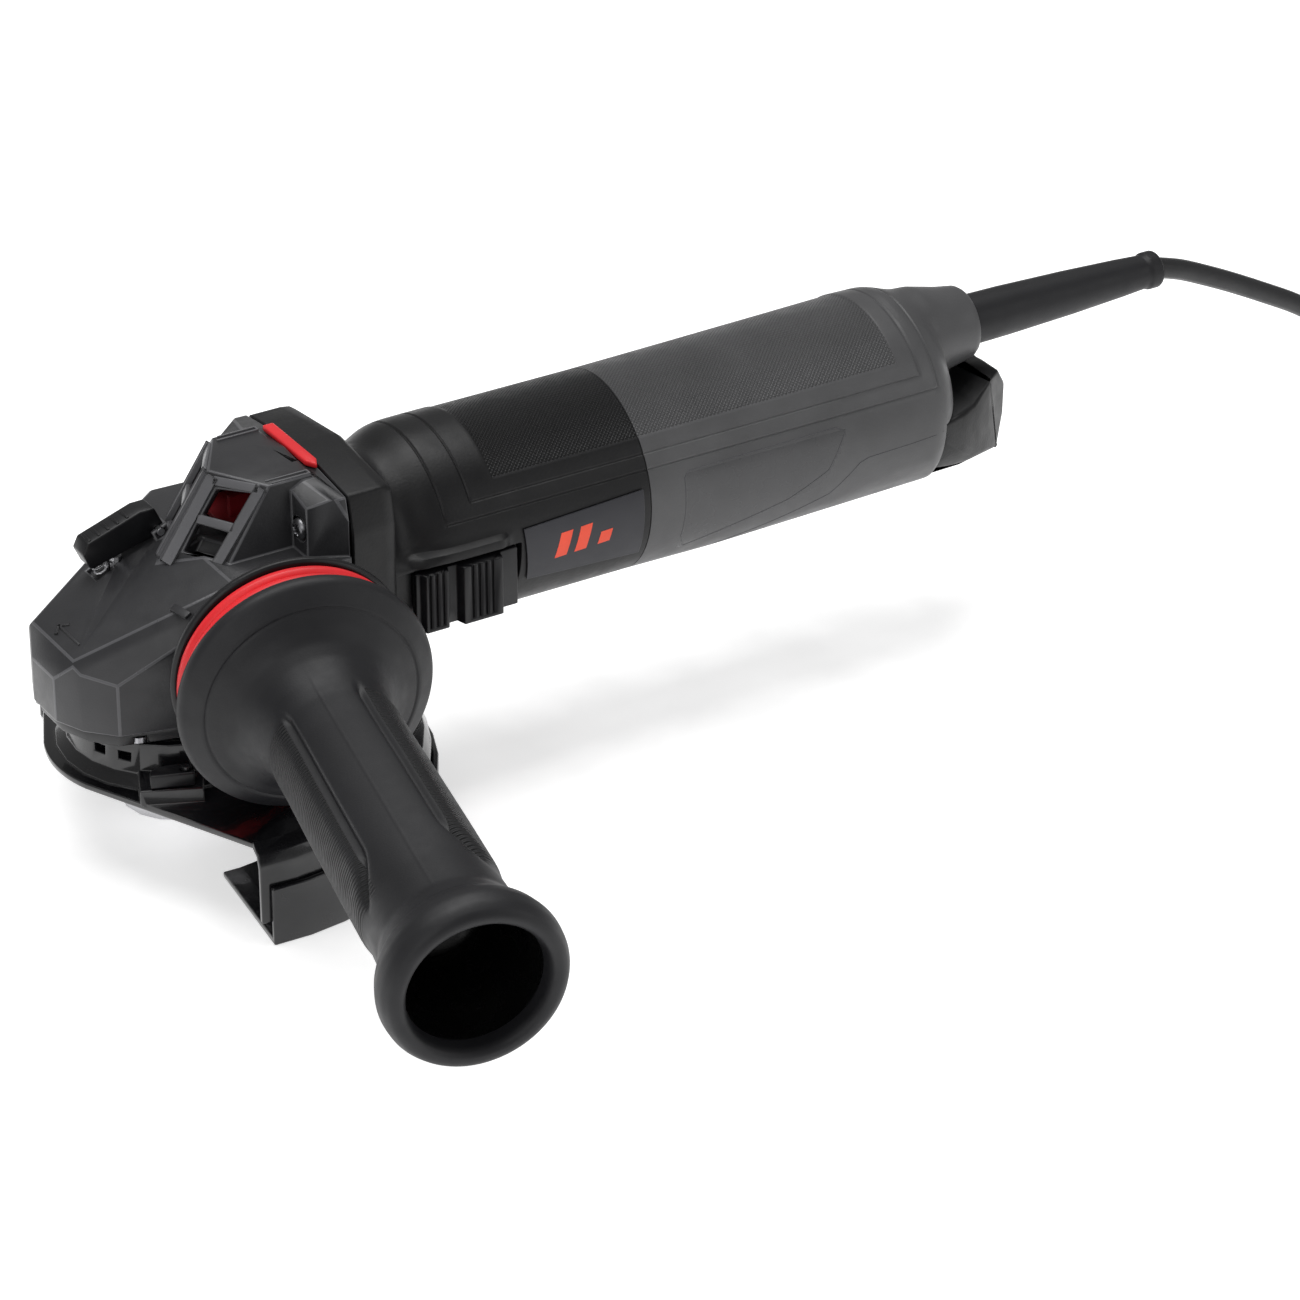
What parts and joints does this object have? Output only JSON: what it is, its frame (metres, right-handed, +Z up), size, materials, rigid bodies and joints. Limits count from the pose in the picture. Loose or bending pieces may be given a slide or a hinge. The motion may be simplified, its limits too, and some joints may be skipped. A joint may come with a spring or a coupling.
{
  "type": "angle grinder",
  "caption": "Corded angle grinder with a side handle, a half-round disc guard with a clip-on cover, a slide switch and a spindle lock.",
  "frame": {"origin": "middle of the spindle's end face, on the spindle axis", "axes": "+X from the gear head to the cable along the motor, +Z up from the spindle's end to the roof of the head, so +Y is the side away from the side handle"},
  "size_m": [0.698, 0.2849, 0.1118],
  "materials": {
    "head_paint": "fine-grained satin paint",
    "black_shell": "fine-grained black plastic",
    "grey_shell": "fine-grained dark grey plastic",
    "dark_parts": "smooth black plastic",
    "soft_rubber": "matte black rubber",
    "red_trim": "satin red",
    "guard_paint": "gloss black paint",
    "turned_steel": "fine turned",
    "dark_steel": "blackened",
    "laminations": "stacked sheet",
    "cast_plate": "die cast",
    "bronze": "sintered",
    "copper": "varnished wire",
    "carbon": "pressed carbon",
    "board": "potted circuit board",
    "label_film": "satin film"
  },
  "bodies": {
    "housing": {"gear_housing": "head_paint", "bearing_flange": "guard_paint", "roof_insert": "red_trim", "air_baffle": "red_trim", "lock_pivot": "turned_steel", "lock_spring": "turned_steel", "spindle_ball_bearing": "turned_steel", "spindle_bush": "bronze", "front_bearing": "turned_steel", "rear_bearing": "turned_steel", "bearing_plate": "cast_plate", "stator_core": "laminations", "field_coil_1": "copper", "field_coil_2": "copper", "brush_holder_1": "dark_parts", "brush_holder_2": "dark_parts", "carbon_brush_1": "carbon", "carbon_brush_2": "carbon", "motor_housing": "black_shell", "label_panel": "label_film", "switch_body": "dark_parts", "electronics_module": "board", "cable_clamp": "dark_parts", "rear_housing": "grey_shell", "rear_screw": "dark_steel", "tail_cover": "black_shell", "handle_stud": "turned_steel", "handle_core": "dark_parts", "back_disc": "dark_parts", "damper_ring": "red_trim", "handle_grip": "soft_rubber", "cable_boot": "soft_rubber", "cord_tube": "soft_rubber", "cord_coil": "soft_rubber", "plug": "soft_rubber", "head_screw_1": "dark_steel", "flange_screw_1": "dark_steel", "head_screw_2": "dark_steel", "flange_screw_2": "dark_steel", "head_screw_3": "dark_steel", "flange_screw_3": "dark_steel", "head_screw_4": "dark_steel", "flange_screw_4": "dark_steel"},
    "armature": {"armature_shaft": "turned_steel", "armature_core": "laminations", "armature_winding": "copper", "commutator": "copper", "cooling_fan": "dark_parts", "pinion": "dark_steel"},
    "spindle": {"spindle": "turned_steel", "crown_gear": "dark_steel", "inner_flange": "turned_steel", "flange_nut": "turned_steel"},
    "switch": {"switch_slider": "dark_parts", "switch_rod": "dark_parts"},
    "lock_lever": {"lock_lever": "dark_parts"},
    "lock_pin": {"lock_pin": "turned_steel"},
    "guard": {"guard": "guard_paint", "guard_clip": "guard_paint"},
    "guard_lever": {"guard_lever": "dark_parts"}
  },
  "joints": [
    {"name": "armature_spin", "type": "hinge", "parent": "housing", "child": "armature", "pos_m": [0.09, 0, 0.071], "axis": [1, 0, 0], "continuous": true},
    {"name": "spindle_spin", "type": "hinge", "parent": "housing", "child": "spindle", "pos_m": [0, 0, 0], "axis": [0, 0, 1], "continuous": true},
    {"name": "switch_slide", "type": "slide", "parent": "housing", "child": "switch", "axis": [-1, 0, 0], "range_m": [0, 0.005]},
    {"name": "lock_press", "type": "hinge", "parent": "housing", "child": "lock_lever", "pos_m": [0.0026, 0.014, 0.0846], "axis": [0, -1, 0], "range_deg": [0, 8], "stiffness_Nm_per_rad": 0.15, "deforming": ["lock_spring"]},
    {"name": "lock_pin_slide", "type": "slide", "parent": "housing", "child": "lock_pin", "axis": [0, 0, -1], "range_m": [0, 0.0018]},
    {"name": "guard_turn", "type": "hinge", "parent": "housing", "child": "guard", "pos_m": [0, 0, 0.02], "axis": [0, 0, 1], "range_deg": [-90, 90]},
    {"name": "guard_lever_press", "type": "hinge", "parent": "guard", "child": "guard_lever", "pos_m": [-0.0142, -0.03484, 0.0315], "axis": [0, 0, -1], "range_deg": [0, 10], "stiffness_Nm_per_rad": 0.05}
  ],
  "couplings": [
    {"joint": "spindle_spin", "follows": "armature_spin", "ratio": 0.33333},
    {"joint": "lock_pin_slide", "follows": "lock_press", "m_per_rad": 0.0128}
  ]
}
